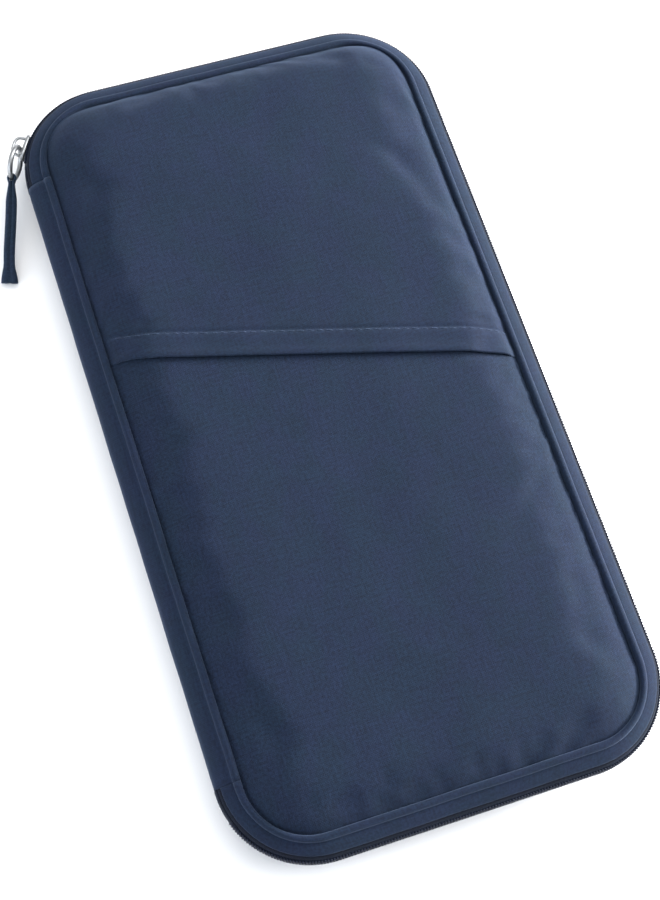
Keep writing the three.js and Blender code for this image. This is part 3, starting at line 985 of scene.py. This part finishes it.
def run_along_edge(run):
    """Place on the closed zip's line and the outward direction, a distance on from the spine's top end."""
    for corner, (straight, side_x, side_y) in enumerate(EDGE_STRETCHES):
        if run < straight + CORNER_ARC:
            angle = math.pi - corner * math.pi / 2 - max(run - straight, 0) / OUTER_RADIUS
            out = np.array([math.cos(angle), math.sin(angle)])
            ahead = np.array([math.sin(angle), -math.cos(angle)])
            centre = np.array([side_x * CORNER_X, side_y * CORNER_Y])
            return centre + out * OUTER_RADIUS - ahead * max(straight - run, 0), out
        run -= straight + CORNER_ARC
    raise ValueError("past the zip's end")


def edge_run(corner, degrees):
    """Distance along the edge of a place on one of the four corners."""
    straights = sum(straight for straight, _, _ in EDGE_STRETCHES[:corner + 1])
    return straights + OUTER_RADIUS * (corner * math.pi / 2 + math.radians(degrees))


COIL_START_RUN = edge_run(0, 19)
COIL_END_RUN = edge_run(3, 71)


def edge_coil(name, body, node, side):
    """Nylon spring of flattened loops that reach just over the middle line, wound on a filler cord."""
    loops = int((COIL_END_RUN - COIL_START_RUN) / TOOTH_PITCH)
    path = []
    for k in range(loops * COIL_STEPS):
        turn = k / COIL_STEPS + (0.5 if side < 0 else 0)
        place, out = run_along_edge(COIL_START_RUN + turn * TOOTH_PITCH)
        swing = math.sin(2 * math.pi * turn)
        height = COIL_MIDDLE + COIL_REACH * math.copysign(abs(swing) ** 0.8, swing)
        place = place - out * (COIL_INSET - COIL_SWAY * math.cos(2 * math.pi * turn))
        path.append((place[0], place[1], MIDDLE_Z + side * height))
    coil = wire_mesh(f"{name}_spring", path, WIRE, COIL)
    filler = []
    for run in np.arange(COIL_START_RUN + TOOTH_PITCH, COIL_END_RUN - TOOTH_PITCH, 2 * TOOTH_PITCH):
        place, out = run_along_edge(run)
        place = place - out * COIL_INSET
        filler.append((place[0], place[1], MIDDLE_Z + side * FILLER_MIDDLE))
    cord = wire_mesh(f"{name}_filler_cord", filler, 0.3 * MM, TAPE, sides=10, flat=2.6)
    return finish_piece(join_pieces(name, [coil, cord]), body, "zip_coil", node)


edge_coil("front_coil", "front_cover", "front_zip_coil", 1)
edge_coil("back_coil", "back_cover", "back_zip_coil", -1)


# ---------------------------------------------------------------- metal: slider, ring, stops
def rounded_box(name, size, bevel, material, segments=3):
    """Box round the origin with rounded edges."""
    work = bmesh.new()
    bmesh.ops.create_cube(work, size=1)
    for vertex in work.verts:
        vertex.co = Vector(vertex.co[k] * size[k] for k in range(3))
    bmesh.ops.bevel(work, geom=work.edges[:], offset=bevel, segments=segments, profile=0.5, affect="EDGES")
    mesh = bpy.data.meshes.new(name)
    work.to_mesh(mesh)
    work.free()
    mesh.materials.append(material)
    mesh.shade_smooth()
    piece = add_object(name, mesh)
    return piece


def joint_place(name):
    """Where a joint of the frame lies."""
    return Vector(next(joint["pos_m"] for joint in frame["joints"] if joint["name"] == name))


CORNER_CENTRE = joint_place("zip_travel")
HOLD = joint_place("ring_swing")
FAR = joint_place("pull_swing")
RING_RADIUS = (FAR - HOLD).length / 2
RING_WIRE = 0.75 * MM
BRIDGE_HALF = 3.02 * MM
BRIDGE_FOOT = 0.4 * MM
PLATE_TOP = OUTER_RADIUS + 1.6 * MM
BRIDGE_TOP = PLATE_TOP + 2.95 * MM


def slider_frame():
    """The slider's own axes: X outward from the corner, Y along the zip towards the spine, Z up."""
    return Matrix.Translation(CORNER_CENTRE) @ Matrix.Rotation(math.pi - SLIDER_ANGLE, 4, "Z")


def plate_shape(name, inner, outer, half_length, half_height, waist, material):
    """Zip slider plate, curved about the corner, wider at its mouth than at its tail."""
    rows, columns = 17, 24
    points = []
    for r in range(rows):
        share = -1 + 2 * r / (rows - 1)
        end = math.sqrt(max(0.0, 1 - abs(share) ** 5))
        height = half_height * (1 - waist * (0.5 - 0.5 * share)) * (0.35 + 0.65 * end)
        loop = []
        for c in range(columns):
            angle = 2 * math.pi * c / columns
            x_way = math.copysign(abs(math.cos(angle)) ** 0.35, math.cos(angle))
            z_way = math.copysign(abs(math.sin(angle)) ** 0.45, math.sin(angle))
            x = (inner + outer) / 2 + (outer - inner) / 2 * x_way * (0.6 + 0.4 * end)
            loop.append((x - 0.45 * MM * z_way ** 2, share * half_length, height * z_way))
        points.append(loop)
    return grid_object(name, np.array(points), False, True, material, caps=True)


def make_slider():
    """Zip slider: outer plate, wedge post, inner plate and the bridge that the ring threads."""
    outer = plate_shape("plate", PLATE_TOP - 1.1 * MM, PLATE_TOP, 4.2 * MM, 2.6 * MM, 0.22, NICKEL)
    inner = plate_shape("inner_plate", 23.9 * MM, 24.9 * MM, 3.6 * MM, 1.0 * MM, 0.1, NICKEL)
    post = rounded_box("post", (2.8 * MM, 2.4 * MM, 0.6 * MM), 0.2 * MM, NICKEL)
    post.location = (26.2 * MM, -2.0 * MM, 0)
    path = []
    for k in range(25):
        angle = math.pi * k / 24
        x = PLATE_TOP - BRIDGE_FOOT + (BRIDGE_TOP - PLATE_TOP + BRIDGE_FOOT) * math.sin(angle) ** 0.42
        y = -BRIDGE_HALF * math.copysign(abs(math.cos(angle)) ** 0.8, math.cos(angle))
        path.append((x, y, 0))
    bridge = wire_mesh("bridge", path, 0.48 * MM, NICKEL, sides=12)
    slider = join_pieces("edge_slider", [outer, inner, post, bridge])
    slider.matrix_world = slider_frame()
    return finish_piece(slider, "zip_slider", "metal", "edge_zip_slider")


def make_ring():
    """Closed wire ring between the slider's bridge and the pull."""
    reach = (FAR - HOLD).normalized()
    wire_way = -Vector(next(j["axis"] for j in frame["joints"] if j["name"] == "ring_swing")).normalized()
    centre = (HOLD + FAR) / 2
    path = []
    for k in range(72):
        angle = 2 * math.pi * k / 72
        path.append(tuple(centre + RING_RADIUS * (reach * math.cos(angle) + wire_way * math.sin(angle))))
    ring = wire_mesh("wire_ring", path, RING_WIRE, NICKEL, sides=16, closed=True)
    return finish_piece(ring, "ring", "metal", "pull_ring")


def make_stop(node, body):
    """Small plated clamp at an end of the zip."""
    low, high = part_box(node)
    side = 1 if low.y > 0 else -1
    angle = side * (math.pi - math.radians(16))
    size = (1.5 * MM, 2.4 * MM, high.z - low.z)
    stop = rounded_box(node + "_clamp", size, 0.35 * MM, GUNMETAL)
    stop.matrix_world = Matrix.Translation((low + high) / 2) @ Matrix.Rotation(angle, 4, "Z")
    return finish_piece(stop, body, "metal", node)


make_slider()
make_ring()
for stop_node, stop_body in (
    ("zip_top_stop_front", "front_cover"),
    ("zip_top_stop_back", "back_cover"),
    ("zip_bottom_stop", "back_cover"),
):
    make_stop(stop_node, stop_body)


# ---------------------------------------------------------------- folded fabric pull
PULL_WAY = Vector((-0.285, -0.9265, -0.225)).normalized()
PULL_LENGTH = 31.5 * MM
STRAP_RADIUS = 1.1 * MM


def pull_section(share):
    """Half width and half height of the folded strip along its length."""
    flare = float(smooth_step(share, 0.80, 1.0))
    neck = float(smooth_step(share, 0.0, 0.22))
    half_width = (1.0 + 0.7 * neck + 0.85 * flare) * MM
    half_height = (1.15 - 0.1 * neck - 0.2 * flare) * MM
    return half_width, half_height


def make_pull():
    """Strip folded round the ring, its two plies sewn side by side and cut square at the end."""
    reach = (FAR - HOLD).normalized()
    across = Vector((0, 0, 1)).cross(PULL_WAY).normalized()
    over = PULL_WAY.cross(across).normalized()
    start = FAR + PULL_WAY * 0.95 * MM
    end = FAR + reach * STRAP_RADIUS + PULL_WAY * PULL_LENGTH
    rows, columns = 90, 40
    points = []
    for r in range(rows):
        share = r / (rows - 1)
        half_width, half_height = pull_section(share)
        middle = start.lerp(end, share)
        bend = 0.25 * MM * math.sin(share * 7) * share
        loop = []
        for c in range(columns):
            angle = 2 * math.pi * c / columns
            side = math.copysign(abs(math.cos(angle)) ** 0.6, math.cos(angle))
            up = math.copysign(abs(math.sin(angle)) ** 0.5, math.sin(angle))
            ply = math.sqrt(max(0.0, 1 - ((abs(side) - 0.52) / 0.52) ** 2))
            twill = 0.06 * MM * math.sin(share * 150 + side * 3)
            lift = up * (half_height * (0.2 + 0.95 * ply) + twill)
            fray = 0.2 * MM * lumps(c * 0.7, share * 90, 1.0, 2.0) * float(smooth_step(share, 0.96, 1.0))
            place = middle + across * (side * half_width + bend) + over * lift + PULL_WAY * fray
            loop.append(tuple(place))
        points.append(loop)
    body = grid_object("pull_body", np.array(points), False, True, PULL_CLOTH, caps=True)
    path = [FAR + PULL_WAY * 2.3 * MM - across * 0.45 * MM]
    for k in range(15):
        angle = math.radians(-115 + 230 * k / 14)
        path.append(FAR + STRAP_RADIUS * (across * math.sin(angle) - PULL_WAY * math.cos(angle)))
    path.append(FAR + PULL_WAY * 2.3 * MM + across * 0.45 * MM)
    strap = wire_mesh("pull_strap", [tuple(p) for p in path], 0.38 * MM, PULL_CLOTH, sides=12, flat=2.7)
    return join_pieces("folded_pull", [body, strap])


pull = make_pull()
finish_piece(pull, "pull", "shell_fabric", "fabric_pull")


# ---------------------------------------------------------------- sewing
STITCH_LENGTH = 2.1 * MM
STITCH_GAP = 0.7 * MM
THREAD_RADIUS = 0.15 * MM
THREAD_SIDES = 6


def stitch_mesh(name, body, slot, lines, facing=1):
    """Thread dashes along lines of points, each dipping into cloth that faces up or down."""
    up = np.array([0, 0, facing])
    vertices, faces = [], []
    sides = THREAD_SIDES
    for line in lines:
        line = np.asarray(line, float)
        run = lengths(line, False)
        count = int(run[-1] / (STITCH_LENGTH + STITCH_GAP))
        for k in range(count):
            start = k * (STITCH_LENGTH + STITCH_GAP) + STITCH_GAP / 2
            at = start + np.array([0, 0.18, 0.5, 0.82, 1]) * STITCH_LENGTH
            path = np.column_stack([np.interp(at, run, line[:, axis]) for axis in range(3)])
            lift = np.array([-0.6, 0.35, 0.6, 0.35, -0.6]) * THREAD_RADIUS
            way = path[-1] - path[0]
            way /= np.linalg.norm(way)
            side = np.cross(way, up)
            base = len(vertices)
            for centre, rise, size in zip(path, lift, (0.5, 0.95, 1.0, 0.95, 0.5)):
                for c in range(sides):
                    angle = 2 * math.pi * c / sides
                    spread = side * math.cos(angle) + up * math.sin(angle)
                    vertices.append(centre + up * rise + spread * THREAD_RADIUS * size)
            for r in range(4):
                for c in range(sides):
                    a, b = base + r * sides + c, base + r * sides + (c + 1) % sides
                    faces.append((a, b, b + sides, a + sides))
            faces.append(tuple(range(base + sides - 1, base - 1, -1)))
            faces.append(tuple(range(base + 4 * sides, base + 5 * sides)))
    weave = [tuple(vertices[v][:2]) for face in faces for v in face]
    piece = new_object(name, vertices, faces, weave, THREAD)
    return finish_piece(piece, body, slot)


def hem_line(cloth, distance):
    """Points on the slip pocket's cloth at a distance above its mouth."""
    tree = BVHTree.FromPolygons(
        [vertex.co.copy() for vertex in cloth.data.vertices],
        [tuple(polygon.vertices) for polygon in cloth.data.polygons],
    )
    across = Vector((-HEM_SLOPE, 1, 0)).normalized()
    along = Vector((across.y, -across.x, 0))
    points = []
    for k in range(121):
        reach = (k / 60 - 1) * (HALF_WIDTH - SEAM_INSET) * math.hypot(1, HEM_SLOPE) * 0.985
        place = Vector((0, HEM_MIDDLE_Y, 0)) + along * reach + across * distance
        hit = tree.ray_cast(Vector((place.x, place.y, 0.05)), Vector((0, 0, -1)))[0]
        if hit:
            points.append(tuple(hit))
    return points


stitch_mesh("hem_stitches", "front_cover", "shell_fabric", [hem_line(slip_pocket, HEM_DEPTH - 0.7 * MM)])


# ---------------------------------------------------------------- inside pockets
def eased(count):
    """Shares from 0 to 1, closer together at both ends."""
    return (1 - np.cos(np.linspace(0, math.pi, count))) / 2


def pocket_cloth(name, body, node, facing, radius=0.0, material=LINING, slot="lining_fabric"):
    """Flat pocket cloth with pressed, rounded edges; facing is +1 or -1 along Z."""
    low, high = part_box(node)
    rows, columns = 46, 40
    plan = np.zeros((rows, columns, 3))
    thickness = np.zeros((rows, columns))
    for r, share_y in enumerate(eased(rows)):
        y = high.y - share_y * (high.y - low.y)
        from_end = min(y - low.y, high.y - y)
        trim = 0.0
        if from_end < radius:
            trim = radius - math.sqrt(radius ** 2 - (radius - from_end) ** 2)
        for c, share_x in enumerate(eased(columns)):
            x = low.x + trim + share_x * (high.x - low.x - 2 * trim)
            inside = min(from_end, x - low.x - trim, high.x - trim - x)
            body_share = float(smooth_step(inside, 0, 1.0 * MM))
            pressed = math.exp(-((inside - 2.0 * MM) / (0.5 * MM)) ** 2)
            slack = 0.07 * MM * lumps(x, y, 19 * MM, 8.0) * body_share
            plan[r, c] = (x, y, 0)
            thickness[r, c] = (high.z - low.z) * (0.45 + 0.55 * body_share - 0.2 * pressed) + slack
    heights = low.z + thickness if facing > 0 else np.full((rows, columns), high.z)
    piece = face_panel(name, plan, heights, thickness, material)
    return finish_piece(piece, body, slot, node)


def mouth_binding(name, body, node, trim=0.0):
    """Folded tape sewn over a pocket's mouth, on its +Y edge."""
    low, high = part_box(node)
    z = (low.z + high.z) / 2
    path = [(low.x + trim + (high.x - low.x - 2 * trim) * k / 40, high.y - 0.3 * MM, z) for k in range(41)]
    piece = wire_mesh(name, path, 1.1 * MM, BINDING, sides=14, flat=0.33)
    return finish_piece(piece, body, "binding")


def sewn_outline(node, facing, inset, radius):
    """Line of sewing round a pocket's closed sides, in from its edge."""
    low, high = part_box(node)
    z = high.z if facing > 0 else low.z
    x0, x1, y0 = low.x + inset, high.x - inset, low.y + inset
    turn = max(radius - inset, 0.5 * MM)
    line = [(x0, high.y - 3 * MM, z)]
    for k in range(9):
        angle = math.pi + k / 8 * math.pi / 2
        line.append((x0 + turn + turn * math.cos(angle), y0 + turn + turn * math.sin(angle), z))
    for k in range(9):
        angle = 1.5 * math.pi + k / 8 * math.pi / 2
        line.append((x1 - turn + turn * math.cos(angle), y0 + turn + turn * math.sin(angle), z))
    line.append((x1, high.y - 3 * MM, z))
    return line


def mouth_sewing(node, facing, below):
    """Line of sewing along a pocket's mouth, a little below it."""
    low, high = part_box(node)
    z = high.z if facing > 0 else low.z
    return [(low.x + 3 * MM, high.y - below, z), (high.x - 3 * MM, high.y - below, z)]


front_lines = []
for slot_number in range(1, 5):
    slot_node = f"card_slot_{slot_number}"
    pocket_cloth(f"card_pocket_{slot_number}", "front_cover", slot_node, -1, 3 * MM)
    mouth_binding(f"card_pocket_{slot_number}_edge", "front_cover", slot_node)
    front_lines.append(mouth_sewing(slot_node, -1, 2.4 * MM))
pocket_cloth("passport_sleeve", "front_cover", "passport_pocket", -1, 12 * MM)
mouth_binding("passport_sleeve_edge", "front_cover", "passport_pocket", 2 * MM)
front_lines.append(sewn_outline("passport_pocket", -1, 2.0 * MM, 12 * MM))
front_lines.append(sewn_outline("card_slot_4", -1, 2.0 * MM, 3 * MM))
front_lines.append(mouth_sewing("passport_pocket", -1, 2.4 * MM))
pocket_cloth("ticket_sleeve", "back_cover", "ticket_pocket", 1, 12 * MM)
mouth_binding("ticket_sleeve_edge", "back_cover", "ticket_pocket", 2 * MM)
pocket_cloth("coin_pocket_cloth", "back_cover", "coin_pocket_panel", 1, 10 * MM)
pocket_cloth("coin_pocket_upper_cloth", "back_cover", "coin_pocket_top_strip", 1, 3 * MM)
for side_name in ("lower", "upper"):
    tape_node = f"coin_zip_tape_{side_name}"
    pocket_cloth(f"coin_tape_{side_name}", "back_cover", tape_node, 1, 0.0, TAPE, "zip_tape")
back_lines = [
    sewn_outline("ticket_pocket", 1, 2.0 * MM, 12 * MM),
    mouth_sewing("ticket_pocket", 1, 2.4 * MM),
    sewn_outline("coin_pocket_panel", 1, 2.0 * MM, 10 * MM),
    mouth_sewing("coin_pocket_panel", 1, 1.4 * MM),
    mouth_sewing("coin_pocket_top_strip", 1, 2.0 * MM),
]
low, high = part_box("coin_pocket_top_strip")
back_lines.append([(low.x + 3 * MM, low.y + 1.4 * MM, high.z), (high.x - 3 * MM, low.y + 1.4 * MM, high.z)])
stitch_mesh("back_pocket_stitches", "back_cover", "lining_fabric", back_lines)
stitch_mesh("front_pocket_stitches", "front_cover", "lining_fabric", front_lines, facing=-1)


# ---------------------------------------------------------------- coin pocket's zip and pen loop
COIN_LOOP_HALF = 0.72 * MM
COIN_LOOP_OFFSET = 0.2 * MM


def straight_coil(name, node, toward):
    """Coil along X whose loops reach just over the zip's middle line."""
    low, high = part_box(node)
    middle_y, middle_z = (low.y + high.y) / 2, (low.z + high.z) / 2
    loops = int((high.x - low.x) / TOOTH_PITCH)
    path = []
    for k in range(loops * COIL_STEPS):
        turn = k / COIL_STEPS + (0.5 if toward < 0 else 0)
        swing = math.sin(2 * math.pi * turn)
        y = middle_y + toward * COIN_LOOP_OFFSET + COIN_LOOP_HALF * swing
        z = middle_z - 0.2 * MM * math.cos(2 * math.pi * turn)
        path.append((low.x + (k / COIL_STEPS) * TOOTH_PITCH + 0.2 * MM, y, z))
    piece = wire_mesh(name, path, 0.22 * MM, COIL)
    return finish_piece(piece, "back_cover", "zip_coil", node)


straight_coil("coin_coil_lower", "coin_zip_coil_lower", 1)
straight_coil("coin_coil_upper", "coin_zip_coil_upper", -1)
for node in ("coin_zip_slider", "coin_zip_pull"):
    add_modifier(dress_cad_piece(node, NICKEL), "BEVEL", width=0.16 * MM, segments=2, limit_method="ANGLE")


def make_pen_loop():
    """Ribbed elastic, an oval sleeve beside the spine."""
    low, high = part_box("pen_loop")
    middle = (low + high) / 2
    half_x, half_z = (high.x - low.x) / 2, (high.z - low.z) / 2
    rows, columns = 61, 56
    outer, inner = [], []
    for r in range(rows):
        share = r / (rows - 1)
        y = low.y + (high.y - low.y) * share
        rib = 0.09 * MM * math.sin(2 * math.pi * share * 12)
        hem = -0.12 * MM if 0.06 < share < 0.09 or 0.91 < share < 0.94 else 0.0
        for rim, cut in ((outer, 0.12 * MM - rib - hem), (inner, 0.62 * MM - rib)):
            rim.append([(
                middle.x + (half_x - cut) * math.cos(2 * math.pi * c / columns), y,
                middle.z + (half_z - cut) * math.sin(2 * math.pi * c / columns),
            ) for c in range(columns)])
    points = np.array(outer + inner[::-1])
    piece = grid_object("pen_sleeve", points, True, True, ELASTIC)
    return finish_piece(piece, "back_cover", "elastic", "pen_loop")


make_pen_loop()
